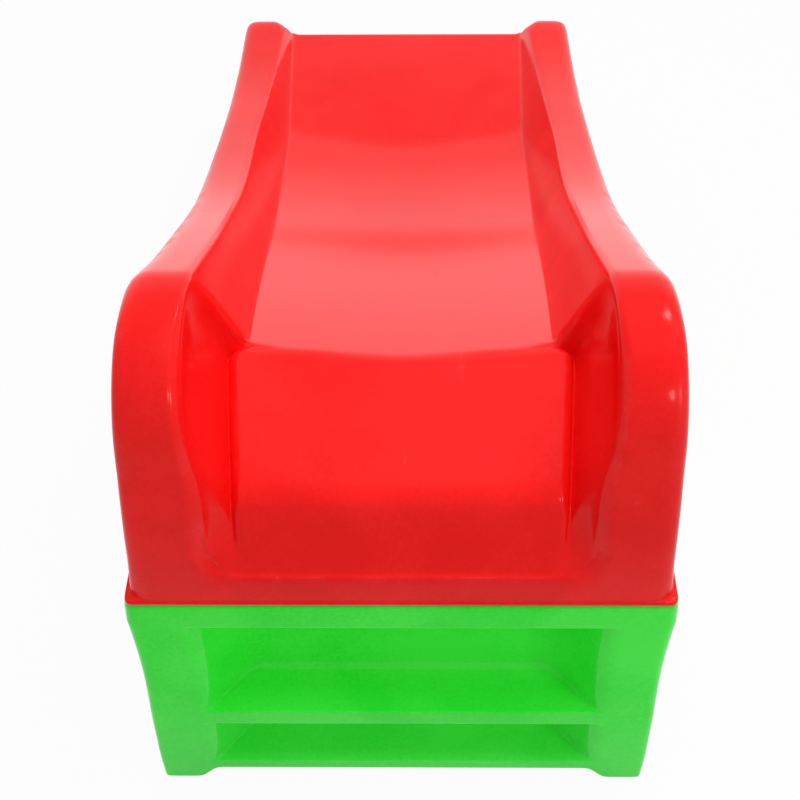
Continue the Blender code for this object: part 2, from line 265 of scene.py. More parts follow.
tipRun = chute["length"] - chute["frontStep"] - chute["tipLean"]
straightHalf = chute["openingHalf"] - chute["openingCorner"]


def pointOn(start, end, run):
    return (run, mix(start[1], end[1], (run - start[0]) / (end[0] - start[0])))


def parabolaHeight(run, start, corner, end):
    a = start[0] - 2 * corner[0] + end[0]
    b = 2 * (corner[0] - start[0])
    c = start[0] - run
    t = -c / b if abs(a) < 1e-9 else (-b + math.sqrt(max(b * b - 4 * a * c, 0.0))) / (2 * a)
    return start[1] * (1 - t) ** 2 + 2 * corner[1] * t * (1 - t) + end[1] * t * t


def bentLineHeight(run, points, bends):
    # height on a line through points whose inner corners are bent, from before to after
    for number, (before, after) in enumerate(bends, 1):
        previous, corner, following = points[number - 1 : number + 2]
        start = pointOn(previous, corner, corner[0] - before)
        end = pointOn(corner, following, corner[0] + after)
        if start[0] <= run <= end[0]:
            return parabolaHeight(run, start, corner, end)
    return along(run, points)


railFall = noseRun + chute["railCrest"]
railLevel = railFall + (chute["armTop"] - chute["railEnd"]) / chute["railSlope"]
railPoints = (
    (noseRun, chute["armTop"]),
    (railFall, chute["armTop"]),
    (railLevel, chute["railEnd"]),
    (chute["length"], chute["railEnd"]),
)
railBends = (
    (chute["railCrest"] * 0.9, chute["railCrest"] * 0.6),
    (0.6 * (railLevel - railFall), 0.7 * (chute["length"] - railLevel)),
)
crest = (chute["crestRun"], chute["crestHeight"])
knee = (lipEnd + chute["kneeRun"], chute["lipTop"] + chute["kneeRise"])
floorPoints = (
    (-chute["length"], chute["lipTop"]),
    (lipEnd, chute["lipTop"]),
    knee,
    crest,
    (chute["bedBend"], crest[1] - chute["bedSlope"] * (chute["bedBend"] - crest[0])),
    (chute["runoutStart"], chute["runoutHeight"]),
    (chute["length"], chute["runoutHeight"]),
)
floorBends = (
    (0.001, 0.001),
    (0.003, 0.007),
    (chute["crestRound"], chute["crestRound"]),
    (0.28 * (chute["bedBend"] - crest[0]), 0.7 * (chute["runoutStart"] - chute["bedBend"])),
    (0.014, 0.014),
)
rimPoints = (
    (0.0, rimTop),
    (chute["baseLength"], rimTop),
    (chute["groundRun"], chute["wall"]),
    (chute["length"], chute["wall"]),
)
rimBends = ((chute["rimBend"], chute["rimBend"]),) * 2


def railHeight(run):
    share = clamp((run - chute["swellStart"]) / chute["swellLength"])
    swell = chute["railSwell"] * math.sin(math.pi * share) ** 2
    return bentLineHeight(max(run, noseRun), railPoints, railBends) + swell


def floorHeight(run):
    return bentLineHeight(run, floorPoints, floorBends)


def dishedHeight(run, lift):
    # the floor's height where the dish lowers it by -lift: the run-out is nearly flat
    bend, start = floorPoints[4], floorPoints[5]
    if run < bend[0]:
        return floorHeight(run) + lift
    line = (*floorPoints[2:5], pointOn(bend, start, chute["length"]))
    sloping = bentLineHeight(run, line, floorBends[2:4]) + lift
    level = ease((run - chute["runoutStart"]) / chute["runoutLevels"])
    flat = chute["runoutHeight"] + lift * chute["runoutDish"] * (1 - level)
    return (sloping + flat + math.hypot(sloping - flat, chute["creaseSoft"])) / 2


def rimHeight(run):
    # top of the rim under a wall at this run
    return bentLineHeight(run, rimPoints, rimBends)


def sideHalf(height):
    return along(height, chute["side"])


def riserHalf(run):
    share = clamp((run - lipEnd) / (crest[0] - lipEnd))
    return mix(chute["riserHalfFoot"], chute["riserHalfTop"], share)


def wallHalf(run, height):
    # the trough's wall: steep beside the riser, leaning more beside the bed
    mouth = along(run, chute["mouth"])
    floor = floorHeight(run)
    share = (height - floor) / (railHeight(run) - floor)
    upper = mouth - chute["mouthTaper"] * (chute["armTop"] - height)
    foot, opens = chute["armFoot"]
    beside = mix(riserHalf(run) + chute["grooveWidth"], upper, clamp(share * opens + foot))
    rise = clamp((height - chute["lipTop"]) / chute["openingCorner"])
    corner = chute["openingHalf"] - chute["openingCorner"] * (1 - math.sqrt(rise * (2 - rise)))
    faded = ease((run - lipEnd) / chute["openingFade"])
    beside = mix(corner - chute["openingInset"], beside, faded)
    leaning = mix(along(run, chute["bedHalf"]), mouth, share)
    up = max(share, 0.0)
    start = crest[0] + chute["turn"][0] - chute["turnTop"][0] * up
    length = chute["turn"][1] + chute["turnTop"][1] * up
    return mix(beside, leaning, ease((run - start) / length))


# The chute's cage: rows from the front rim over the arms to the far rim, columns from the
# middle out to the side rim. Each row has a place on the floor and one on the crown.

chuteRows = {
    "front": ((0.0, 0.040), (0.004, 0.046)),  # height over the rim, and run on the side rim
    # round the opening: height over the lip where a row crosses the crown, and run on the rim
    "edge": (-0.008, 0.052),
    "lip": (0.010, 0.058),
    "ledge": (0.024, 0.064),
    "foot": (0.040, 0.070),
    # behind the lip: run on the riser, and height of the row on the arm's front
    "riser": (
        (0.0165, 0.394),
        (0.0245, 0.408),
        (0.0300, 0.420),
        (0.0325, 0.428),
        (0.0365, 0.437),
        (0.046, noseHeight),
    ),
    "riserRim": (0.075, 0.0045),  # run of the first on the side rim, and from each to the next
    "nose": (0.060, 0.080, 0.100, 0.119, 0.135),
    "noseRim": (0.102, 0.008),
    # over the crest: run on the floor, and run on the rail
    "crest": (
        (0.149, 0.140),
        (0.160, 0.151),
        (0.1668, 0.159),
        (0.1715, 0.166),
        (0.1765, 0.173),
        (0.184, 0.182),
        (0.198, 0.196),
        (0.220, 0.219),
    ),
    "crestRim": 0.145,  # the least run of these on the side rim
    "bed": (0.250, 0.89, 0.0400),  # from, to, and from each to the next
    "runout": (0.911, 0.926, 0.941, 0.985, 1.035, 1.085, 1.130),
    "tip": (1.1675, 1.180, 1.1905),
    "tipRim": (1.150, 0.006),
    # down the end: height, crown step, and run on the side rim
    "end": (
        (0.1680, 4.0, 1.168),
        (0.120, 4.3, 1.172),
        (0.060, 4.65, 1.176),
        (chute["wall"] + 0.004, 4.975, 1.180),
        (chute["wall"], 5.0, 1.184),
    ),
}
wallColumns = (0.30, 0.66, 0.92)  # shares of the trough's wall from its foot to its edge
crownColumns = (0.14, 0.55, 1.0)  # of the crown from its edge to the shoulder
sideColumns = (0.16, 0.42, 0.72, 1.0)  # of the side wall from the shoulder to the rim
straightShares = (0, 0.3, 0.58, 0.84, 0.93, 0.98)  # of the lip's straight half
frontShares = (1.0, 1.04, 1.08, 1.12, 1.15, 1.18, 1.21)
endShares = (0, 0.3, 0.55, 0.72, 0.82, 0.89, 0.93, 0.96, 0.99, 1.03, 1.06, 1.08, 1.1)
openingTurns = {
    "edge": (0, 7, 14, 21, 27, 33, 39),
    "lip": (0, 7, 15, 22, 30, 37, 45),
    "ledge": (0, 11, 23, 34, 45, 57, 68),
    "foot": (0, 15, 30, 45, 60, 75, 90),
}
# where each of these rows meets the crown: turn, and how many roundings out
crownTurns = {"edge": (45, 2.1), "lip": (52, 1.0), "ledge": (71, 1.0), "foot": (91, 1.0)}


def frontFace(height):
    # run of the arms' leaning front faces
    share = (height - rimTop) / (noseHeight - rimTop)
    return chute["frontStep"] + chute["frontLean"] * share * share


def crownAt(step):
    # the crown's point and its outward normal: step 0 to 1 up the front, to 2 round the
    # nose, to 3 along the rail, to 4 round the tip, to 5 down the end
    if step <= 1:
        height = mix(rimTop, noseHeight, step)
        return (frontFace(height), height), (-1.0, 0.0)
    if step <= 2:
        turn = (step - 1) * math.pi / 2
        normal = (-math.cos(turn), math.sin(turn))
        run = noseRun + chute["noseRadius"] * normal[0]
        return (run, noseHeight + chute["noseRadius"] * normal[1]), normal
    endRun = tipRun - chute["tipRadius"]
    if step <= 3:
        run = mix(noseRun, endRun, step - 2)
        slope = (railHeight(run + 0.001) - railHeight(run - 0.001)) / 0.002
        size = math.hypot(1, slope)
        return (run, railHeight(run)), (-slope / size, 1 / size)
    low = chute["railEnd"] - chute["tipRadius"]
    if step <= 4:
        turn = (step - 3) * math.pi / 2
        normal = (math.sin(turn), math.cos(turn))
        run = endRun + chute["tipRadius"] * normal[0]
        return (run, low + chute["tipRadius"] * normal[1]), normal
    height = mix(low, chute["wall"], step - 4)
    return (tipRun + chute["tipLean"] * (step - 4), height), (1.0, 0.0)


def stepOfRun(run):
    return 2 + (run - noseRun) / (tipRun - chute["tipRadius"] - noseRun)


def stepOfHeight(height):
    return (height - rimTop) / (noseHeight - rimTop)


def makeRows():
    # (kind, place on the floor, crown step, run where the row meets the side rim)
    rows = []
    for rise, rimRun in chuteRows["front"]:
        rows.append(("front", rimTop + rise, stepOfHeight(rimTop + rise), rimRun))
    places = {
        "edge": chute["lipTop"] - chute["lipRound"],
        "lip": chute["frontStep"] + chute["lipRound"],
        "ledge": lipEnd - chute["ledgeInset"],
        "foot": lipEnd + chute["footRound"],
    }
    for kind, place in places.items():
        rise, rimRun = chuteRows[kind]
        rows.append((kind, place, stepOfHeight(chute["lipTop"] + rise), rimRun))
    first, gap = chuteRows["riserRim"]
    for number, (run, height) in enumerate(chuteRows["riser"]):
        rows.append(("trough", run, stepOfHeight(height), first + gap * number))
    first, gap = chuteRows["noseRim"]
    for number, run in enumerate(chuteRows["nose"]):
        rows.append(("trough", run, 1 + (number + 1) / 5, first + gap * number))
    for run, crownRun in chuteRows["crest"]:
        rimRun = max(crownRun, chuteRows["crestRim"])
        rows.append(("trough", run, stepOfRun(crownRun), rimRun))
    run, last, gap = chuteRows["bed"]
    while run < last:
        rows.append(("trough", run, stepOfRun(run), run))
        run += gap
    for run in chuteRows["runout"]:
        rows.append(("trough", run, stepOfRun(run), run))
    first, gap = chuteRows["tipRim"]
    for number, run in enumerate(chuteRows["tip"]):
        rows.append(("trough", run, 3 + number * 0.3, first + gap * number))
    for height, step, rimRun in chuteRows["end"]:
        rows.append(("end", height, step, rimRun))
    return rows


def openingArc(turn, grow=0.0):
    # a point on the opening's lower corner: 0 where it leaves the lip, 90 where it meets the arm
    radius = chute["openingCorner"]
    across = straightHalf + (radius + grow) * math.sin(math.radians(turn))
    height = chute["lipTop"] + radius - (radius + grow) * math.cos(math.radians(turn))
    return across, height


def floorSection(run):
    # nine points of a section over riser and grooves or over the bed, as (across, run, height)
    floor = floorHeight(run)
    foot = wallHalf(run, floor)
    dish = chute["dish"] * ease((run - lipEnd) / (crest[0] - lipEnd))
    corner = chute["bedCorner"]
    wallUp = Vector((wallHalf(run, floor + 0.01) - foot, 0.01)).normalized()
    if run < crest[0] / 2:
        plain = [(straightHalf * share, -dish * (1 - share)) for share in straightShares[3:]]
        plain += [(x, height - chute["lipTop"]) for x, height in map(openingArc, (0, 15, 30))]
    else:
        plain = [(foot * share, -dish * left) for share, left in chute["bedSide"]]
        plain += [(foot - corner * inwards, -dish * left) for inwards, left in chute["bedEdge"]]
        plain.append((foot - corner * 0.5, corner * 0.06))
        plain.append((foot + wallUp.x * corner * 0.55, wallUp.y * corner * 0.55))
    # over the riser's rounded edge, down into the groove and up its other side
    edge = riserHalf(run)
    width = min(chute["grooveWidth"], max(foot - edge - 0.002, 0.002))
    rounding = chute["riserRound"]
    deep = -chute["grooveDepth"]
    grooved = [
        (edge - rounding * 1.9, -dish * 0.10),
        (edge - rounding, -0.0004),
        (edge - 0.0003, -rounding),
        (edge + 0.0008, deep * 0.70),
        (edge + width * 0.55, deep),
        (edge + width, deep * 0.72),
    ]
    opened = ease((run - lipEnd - chute["grooveStart"]) / chute["grooveOpens"])
    opened *= ease((crest[0] + chute["grooveEnd"] - run) / chute["grooveCloses"])
    half = [(plain[0][0] * share, -dish * left) for share, left in chute["bedMiddle"]]
    half += [mixPoint(a, b, opened) for a, b in zip(plain, grooved)]
    if run < chute["bedBend"] - 0.05:
        return [(across, run, floor + lift) for across, lift in half]
    # across the run-out's crease, which bows forward where the dish is deep
    points = []
    for across, lift in half:
        near = max(1 - abs(run - chute["runoutStart"]) / chute["creaseReach"], 0.0)
        place = run - chute["creaseBow"] * ease(near) * min(-lift / chute["dish"], 1.0)
        points.append((across, place, dishedHeight(place, min(lift, 0.0)) + max(lift, 0.0)))
    return points


def openingRow(kind, place, inner):
    # along the lip and round the opening's corner, up to the arm
    if kind == "edge":
        run, level = frontFace(place), place
    else:
        run, level = place, floorHeight(place) if kind == "foot" else chute["lipTop"]
    points = [(straightHalf * share, run, level) for share in straightShares]
    turns = openingTurns[kind]
    for number, turn in enumerate(turns):
        share = number / (len(turns) - 1)
        if kind == "edge":
            across, height = openingArc(turn, mix(chute["lipRound"], inner, share))
            points.append((across, frontFace(height), height))
        else:
            across, height = openingArc(turn)
            run = mix(place, frontFace(height) + inner, ease(share))
            points.append((across, run, height + (1 - share) * (level - chute["lipTop"])))
    return points


def troughRow(place, crown, normal, inner):
    # over the floor and up the trough's wall to its edge
    points = floorSection(place)
    footHeight = points[-1][2]
    edgeRun = crown[0] - normal[0] * inner
    edgeHeight = crown[1] - normal[1] * inner
    for share in wallColumns:
        run = mix(place, edgeRun, share)
        height = mix(footHeight, edgeHeight, share)
        points.append((wallHalf(run, height), run, height))
    points.append((wallHalf(edgeRun, edgeHeight), edgeRun, edgeHeight))
    return points


def cageRow(kind, place, step, rimRun):
    # one row of the cage, from the middle out, as (across, run, height)
    crown, normal = crownAt(step)
    start, length = chute["railSteps"]
    inner = mix(chute["armRound"], chute["railRound"], ease((step - start) / length))
    start, length = chute["tipSteps"]
    inner = mix(inner, chute["tipRound"], ease((step - start) / length))
    if kind == "front":
        shares = straightShares + frontShares
        points = [(straightHalf * share, frontFace(place), place) for share in shares]
    elif kind in openingTurns:
        points = openingRow(kind, place, inner)
    elif kind == "trough":
        points = troughRow(place, crown, normal, inner)
    else:
        half = wallHalf(chute["endRun"], chute["runoutHeight"])
        points = [(half * share, crown[0], place) for share in endShares]
    # the crown
    if kind in crownTurns:
        turn, grow = crownTurns[kind]
        across, height = openingArc(turn, inner * grow)
        edge = (across, frontFace(height), height)
    elif kind == "trough":
        edge = (wallHalf(*crown) + inner, *crown)
    else:
        edge = (points[-1][0] + chute["tipEdge"], *crown)
    shoulder = along(step, chute["shoulder"])
    corner = (sideHalf(crown[1]) - shoulder, *crown)
    points.append(edge)
    points += [mixPoint(edge, corner, share) for share in crownColumns]
    # the shoulder, the side wall and the rim line
    top = (crown[0] - normal[0] * shoulder, crown[1] - normal[1] * shoulder)
    points.append((sideHalf(top[1]), *top))
    for share in sideColumns:
        run, height = mixPoint(top, (rimRun, rimHeight(rimRun)), share)
        points.append((sideHalf(height), run, height))
    return points


def rimPoint(point):
    # where the rim's outer edge is, for a point of the rim line
    across, run, height = point
    half = sideHalf(height) + chute["rimReach"]
    inset, rounding = chute["rimInset"], chute["rimRound"]
    if inset <= run <= chute["length"] - inset:
        return (half, min(max(run - inset, rounding), chute["length"] - rounding), height)
    end = 0.0 if run < inset else chute["length"]
    return (min(across * 1.02, half - rounding), end, height)


def rimRow(row):
    # the rim's outer edge along the front or the end
    outer = [rimPoint(point) for point in row[:-1]]
    return outer + outer[-1:]


def gridMesh(cage):
    # a grid whose vertices are moved to the cage's points
    rowCount = len(cage)
    columnCount = len(cage[0])
    bm = bmesh.new()
    bmesh.ops.create_grid(bm, x_segments=columnCount - 1, y_segments=rowCount - 1, size=1.0)
    for vert in bm.verts:
        column = round((vert.co.x + 1) / 2 * (columnCount - 1))
        row = round((vert.co.y + 1) / 2 * (rowCount - 1))
        across, run, height = cage[row][column]
        vert.co = (across, run - chute["length"] / 2, height)
    bmesh.ops.remove_doubles(bm, verts=bm.verts, dist=0.00001)
    return bm


def meshObject(name, bm):
    mesh = bpy.data.meshes.new(name)
    bm.to_mesh(mesh)
    bm.free()
    for polygon in mesh.polygons:
        polygon.use_smooth = True
    obj = bpy.data.objects.new(name, mesh)
    scene.collection.objects.link(obj)
    return obj


sharpBend = 1.1  # radians past which an edge wears fully


def markWear(bm):
    # how sharply the sheet bends outwards at each vertex, for the worn edges
    wear = bm.verts.layers.float.new("wear")
    for vert in bm.verts:
        edges = [edge for edge in vert.link_edges if len(edge.link_faces) == 2]
        sharpest = max([0.0] + [edge.calc_face_angle_signed(0.0) for edge in edges])
        vert[wear] = min(sharpest / sharpBend, 1.0)


def sheetObject(name, bm, thickness, mirrored=False):
    # faces a coarse sheet outwards, rounds it and gives it its wall
    bmesh.ops.recalc_face_normals(bm, faces=bm.faces)
    top = max(bm.faces, key=lambda face: face.calc_center_median().z)
    if top.normal.z < 0:
        bmesh.ops.reverse_faces(bm, faces=bm.faces)
    markWear(bm)
    obj = meshObject(name, bm)
    if mirrored:
        mirror = obj.modifiers.new("mirror", "MIRROR")
        mirror.use_clip = True
        mirror.merge_threshold = 0.0002
    smooth = obj.modifiers.new("smooth", "SUBSURF")
    smooth.levels = 2
    smooth.render_levels = 2
    wall = obj.modifiers.new("wall", "SOLIDIFY")
    wall.thickness = thickness
    wall.offset = -1.0
    return obj


def makeChute():
    cage = [cageRow(*row) for row in makeRows()]
    for row in cage:
        row.append(rimPoint(row[-1]))
    cage = [rimRow(cage[0]), *cage, rimRow(cage[-1])]
    return sheetObject("chute_moulding", gridMesh(cage), chute["wall"], mirrored=True)


# The step base: a sheet wrapped round its four sides and over its deck, with the foot pockets
# pushed in from the front

base = {
    # half the width, by height
    "half": (
        (0.0, 0.2503),
        (0.034, 0.2518),
        (0.11, 0.2515),
        (0.1455, 0.2502),
        (0.18, 0.2492),
        (0.2133, 0.2497),
        (0.233, 0.2507),
        (0.2644, 0.2544),
        (0.2857, 0.2536),
        (0.298, 0.2515),
    ),
    "length": 0.440,
    "height": 0.298,
    "wall": 0.004,
    "cornerTop": 0.013,
    "cornerFoot": 0.006,
    "deckRound": 0.0045,
    "openingHalf": 0.1985,
    # half the pockets' width, by depth: a wide rounding, then the leaning side
    "sides": ((0, 0.1985), (0.0030, 0.1915), (0.0095, 0.1850), (0.0185, 0.1795), (0.0555, 0.1510)),
    "pocketDepth": 0.0555,
    "pocketRound": 0.012,
    "mouthRound": 0.0030,
    "mouthSide": 0.0060,  # rounding of the pockets' upright edges
    "pockets": ((0.030, 0.101), (0.123, 0.263)),  # lower and upper edge of each
    "sillLow": 0.018,
    "footRun": 0.060,
    "footHalf": 0.191,  # where the sill starts to curve down into the foot
    "footCurve": 0.022,
    # the sheet's columns: across the pockets' width, across a post, and along a side
    "acrossPocket": (0.0, 0.07, 0.13, 0.165, 0.184),
    "acrossPost": (0.2095, 0.2145, 0.2210, 0.228),
    "alongSide": (0.022, 0.045, 0.060, 0.0645, 0.071, 0.0775, 0.082, 0.10, 0.16),
    "cornerTurns": (0, 22, 45, 68, 90),
    "deckInsets": (0.06, 0.14),
}
footHalfWidth = base["half"][0][1]


def footEdge(across, run):
    # the lower edge: level under the sill and the sides, down to the ground at the feet
    curve = base["footCurve"]
    inner = min(abs(across) - base["footHalf"], curve)
    middle = base["length"] / 2
    outer = min(abs(run - middle) - (middle - base["footRun"] - curve), curve)
    share = inner if abs(across) < footHalfWidth - 0.02 else outer
    return base["sillLow"] * (1 - ease(share / curve))


def wrapPlaces():
    # once round the base from the middle of the back, as (side, place on it), and at the
    # corners as ("corner", number, turn)
    mouth = base["openingHalf"]
    half = base["acrossPocket"] + (mouth - base["mouthSide"], mouth, mouth + base["mouthSide"])
    half += base["acrossPost"]
    across = [-x for x in reversed(half[1:])] + list(half)
    runs = list(base["alongSide"])
    runs += [base["length"] - run for run in reversed(runs)]
    sides = (
        (2, [("left", run) for run in reversed(runs)]),
        (3, [("front", x) for x in across]),
        (0, [("right", run) for run in runs]),
        (1, [("back", x) for x in reversed(half)]),
    )
    places = [("back", -x) for x in half]
    for number, side in sides:
        places += [("corner", number, turn) for turn in base["cornerTurns"]] + side
    return places


def wrapPoint(place, height, inset):
    # a point of the wrap at a height, moved in from the outline by inset
    half = along(height, base["half"]) - inset
    low, high = inset, base["length"] - inset
    if place[0] == "front":
        return place[1] * half / footHalfWidth, low
    if place[0] == "back":
        return place[1] * half / footHalfWidth, high
    if place[0] == "right":
        return half, place[1]
    if place[0] == "left":
        return -half, place[1]
    number, turn = place[1:]
    radius = mix(base["cornerFoot"], base["cornerTop"], height / base["height"])
    radius = max(radius - inset, 0.002)
    angle = math.radians(number * 90 - 90 + turn)
    side = 1 if number < 2 else -1
    middleRun = (high - radius) if number in (1, 2) else (low + radius)
    return side * (half - radius) + radius * math.cos(angle), middleRun + radius * math.sin(angle)


def baseRows():
    # (height, inset) from the lower edge up to the deck, then in over the deck
    edge = base["mouthRound"]
    top, rounding = base["height"], base["deckRound"]
    levels = [0.0, 0.0035]
    for low, high in base["pockets"]:
        levels += [low - edge, low, low + edge * 2, mix(low, high, 0.5)]
        levels += [high - edge * 2, high, high + edge]
    levels += [top - rounding * 2.2, top - rounding]
    insets = (rounding, rounding * 2.5, *base["deckInsets"])
    return [(level, 0.0) for level in levels] + [(top, inset) for inset in insets]


def baseCage():
    pocketFoot = base["pockets"][0][0] - base["mouthRound"]
    cage = []
    for level, inset in baseRows():
        row = []
        for place in wrapPlaces():
            across, run = wrapPoint(place, level, inset)
            height = level
            if level < pocketFoot - 0.001:
                height += footEdge(across, run) * (1.0 if level < 0.001 else 0.98)
            row.append((across, run, height))
        cage.append(row)
    middle = (0.0, base["length"] / 2, base["height"])
    cage.append([middle] * len(cage[0]))
    return cage


def pushPocket(bm, low, high):
    # extrudes the front's faces within a pocket back in steps, its sides leaning in
    front = -chute["length"] / 2
    middle, halfHeight = (low + high) / 2, (high - low) / 2

    def inside(face):
        x, y, z = face.calc_center_median()
        return y < front + 0.001 and abs(x) < base["openingHalf"] and low < z < high

    faces = [face for face in bm.faces if inside(face)]
    depth = base["pocketDepth"]
    rounding = base["pocketRound"]
    # how far back each step goes, and how much its outline shrinks all round
    rings = (
        (base["mouthRound"], 0.0),
        (0.0095, 0.0),
        (0.0185, 0.0),
        (depth - rounding * 1.5, 0.0),
        (depth - rounding * 0.45, rounding * 0.18),
        (depth - rounding * 0.08, rounding * 0.70),
        (depth, rounding * 1.7),
    )
    before = 0.0
    shrunk = 0.0
    for back, shrink in rings:
        made = bmesh.ops.extrude_face_region(bm, geom=faces)["geom"]
        moved = [part for part in made if isinstance(part, bmesh.types.BMVert)]
        bmesh.ops.delete(bm, geom=faces, context="FACES")
        faces = [part for part in made if isinstance(part, bmesh.types.BMFace)]
        narrowed = along(back, base["sides"]) - shrink
        narrowed /= along(before, base["sides"]) - shrunk
        lowered = (halfHeight - shrink) / (halfHeight - shrunk)
        for vert in moved:
            vert.co.x *= narrowed
            vert.co.y = front + back
            vert.co.z = middle + (vert.co.z - middle) * lowered
        before, shrunk = back, shrink


def makeBase():
    bm = gridMesh(baseCage())
    for low, high in base["pockets"]:
        pushPocket(bm, low, high)
    return sheetObject("base_moulding", bm, base["wall"])


# Materials: gloss plastic in two colours, and zinc-plated steel

plastic = {
    # two shades, and how much paler the piece is near the ground
    "red": {"deep": (0.88, 0.004, 0.004), "pale": (0.98, 0.010, 0.009), "groundFade": 0.02},
    "green": {"deep": (0.022, 0.89, 0.030), "pale": (0.060, 0.98, 0.060), "groundFade": 0.17},
    "groundFadeHeight": 0.20,
    "rough": 0.14,
    "specular": 0.145,
    # noise: scale, detail, roughness, distortion
    "cloud": (7.0, 4.0, 0.55, 0.4),
    "grain": (260.0, 2.0, 0.5),
    "patches": (22.0, 3.0, 0.6),
    "peel": (420.0, 2.0, 0.5),
    "peelDepth": 0.0000040,
    "wave": (13.0, 1.5, 0.4),
    "waveDepth": 0.00010,
    "toneStops": (0.36, 0.64),  # from the deep shade to the pale one
    # lines of wear: how the noise is stretched and turned, where it starts and is full, and on
    # which patches
    "scuffLines": ((110.0, 5.0, 60.0), (0.0, 0.0, 0.12)),
    "scuffs": (1.0, 4.0, 0.65),
    "scuffStops": (0.60, 0.74),
    "scuffPatches": (0.42, 0.66),
    "scuffPaleness": 0.05,
    "scuffRough": 0.16,
    "scuffDepth": 0.000006,
    "nickLines": ((16.0, 150.0, 90.0), (0.3, 0.2, 0.9)),
    "nicks": (1.0, 3.0, 0.6),
    "nickStops": (0.66, 0.76),
    "nickPatches": (0.50, 0.70),
    # edges rubbed pale: from which bend, how fast, and on which patches
    "wearFrom": 0.42,
    "wearGain": 1.8,
    "wearPatches": (0.35, 0.65),
    "wearStops": (0.02, 0.9),
    "wearPaleness": 0.06,
    "wearRough": 0.20,
}
metal = {
    "colour": (0.52, 0.53, 0.55),
    "dullness": 0.62,
    "dullStops": (0.30, 0.62),
    "rough": 0.30,
    "cloud": (180.0, 4.0, 0.6),
    "cloudDepth": 0.00002,
    "turning": (900.0, 900.0, 4200.0),
    "turned": (1.0, 2.0, 0.5),
    "turnedDepth": 0.000012,
}


def closeFinish(finish, relief, sockets):
    # the shader, with its relief, and the output
    bump = finish.node("ShaderNodeBump", {}, {"Strength": 1.0, "Distance": 1.0, "Height": relief})
    shader = finish.node("ShaderNodeBsdfPrincipled", {}, {**sockets, "Normal": bump})
    finish.node("ShaderNodeOutputMaterial", {}, {0: shader})
    return finish.owner


def makePlastic(name, colours):
    finish = Finish(bpy.data.materials.new(name))
    where = finish.node("ShaderNodeTexCoord", out=3)
    worn = finish.node("ShaderNodeAttribute", {"attribute_name": "wear"}, out=2)
    height = finish.node("ShaderNodeSeparateXYZ", {}, {0: where}, out=2)
    cloud = finish.noise(where, *plastic["cloud"])
    grain = finish.noise(where, *plastic["grain"])
    patches = finish.noise(where, *plastic["patches"])
    drawn = finish.stretched(where, *plastic["scuffLines"])
    scuffs = finish.noise(drawn, *plastic["scuffs"]).between(*plastic["scuffStops"])
    scuffs = scuffs * patches.between(*plastic["scuffPatches"])
    crossed = finish.stretched(where, *plastic["nickLines"])
    nicks = finish.noise(crossed, *plastic["nicks"]).between(*plastic["nickStops"])
    nicks = nicks * patches.between(*plastic["nickPatches"])
    rubbed = (worn - plastic["wearFrom"]) * patches.between(*plastic["wearPatches"])
    rubbed = (rubbed * plastic["wearGain"] + nicks * 0.30).between(*plastic["wearStops"])

    tone = (cloud * 0.75 + grain * 0.25).between(*plastic["toneStops"])
    colour = finish.blendColours(tone, (*colours["deep"], 1.0), (*colours["pale"], 1.0))
    # paler towards the ground, up to groundFadeHeight, most on the green base
    groundFaded = 1 - height.between(0.0, plastic["groundFadeHeight"])
    groundFaded = groundFaded * (patches * 0.5 + 0.75) * colours["groundFade"]
    paled = rubbed * plastic["wearPaleness"] + scuffs * plastic["scuffPaleness"] + groundFaded
    faded = tuple(mix(part, 0.75, 0.35) for part in colours["pale"])
    colour = finish.blendColours(paled, colour, (*faded, 1.0))

    rough = cloud * 0.07 + grain * 0.03  # 0.05 on average
    rough = rough + scuffs * plastic["scuffRough"] + rubbed * plastic["wearRough"]
    rough = rough + (plastic["rough"] - 0.05)
    peel = finish.noise(where, *plastic["peel"])
    wave = finish.noise(where, *plastic["wave"])
    relief = peel * plastic["peelDepth"] + wave * plastic["waveDepth"]
    relief = relief - scuffs * plastic["scuffDepth"]
    sockets = {"Base Color": colour, "Roughness": rough}
    return closeFinish(finish, relief, {**sockets, "Specular IOR Level": plastic["specular"]})


def makeSteel():
    finish = Finish(bpy.data.materials.new("bolt steel"))
    where = finish.node("ShaderNodeTexCoord", out=3)
    cloud = finish.noise(where, *metal["cloud"])
    turned = finish.noise(finish.stretched(where, metal["turning"]), *metal["turned"])
    dull = tuple(part * metal["dullness"] for part in metal["colour"])
    shiny = cloud.between(*metal["dullStops"])
    colour = finish.blendColours(shiny, (*dull, 1.0), (*metal["colour"], 1.0))
    rough = cloud * 0.22 + turned * 0.12 + (metal["rough"] - 0.12)
    relief = turned * metal["turnedDepth"] + cloud * metal["cloudDepth"]
    return closeFinish(finish, relief, {"Base Color": colour, "Roughness": rough, "Metallic": 1.0})


# Camera, floor and light

view = {
    "place": (0.0119, -1.3605, 1.3228),
    "pitch": 45.137,  # degrees below level
    "yaw": 0.814,  # degrees towards -X
    "roll": -0.564,
    "lens": 63.0,
    "floorSize": 60.0,
    "floorColour": (0.76, 0.76, 0.76),
    "floorWhite": 0.95,  # share of plain white that the camera and reflections see
    "horizon": 1.0,  # strength of the surroundings near level, beyond the run-out
    "horizonFront": 0.35,  # and behind the camera
    "sky": 0.50,
    "lamps": (
        # name, place, what it points at, sizes, watts, whether it shows in gloss
        ("overhead", (0.3, 0.0, 2.6), (0.0, 0.0, 0.3), (2.2, 1.8), 34.0, False),
        ("front_window", (1.05, -2.40, 1.9), (0.0, -0.5, 0.3), (0.24, 0.30), 4.6, True),
        ("right_window", (1.78, -1.9, 1.46), (0.0, -0.5, 0.4), (0.24, 0.46), 5.2, True),
        ("rear_window", (0.95, 0.47, 2.28), (0.0, -0.4, 0.4), (0.20, 0.45), 4.0, True),
    ),
}


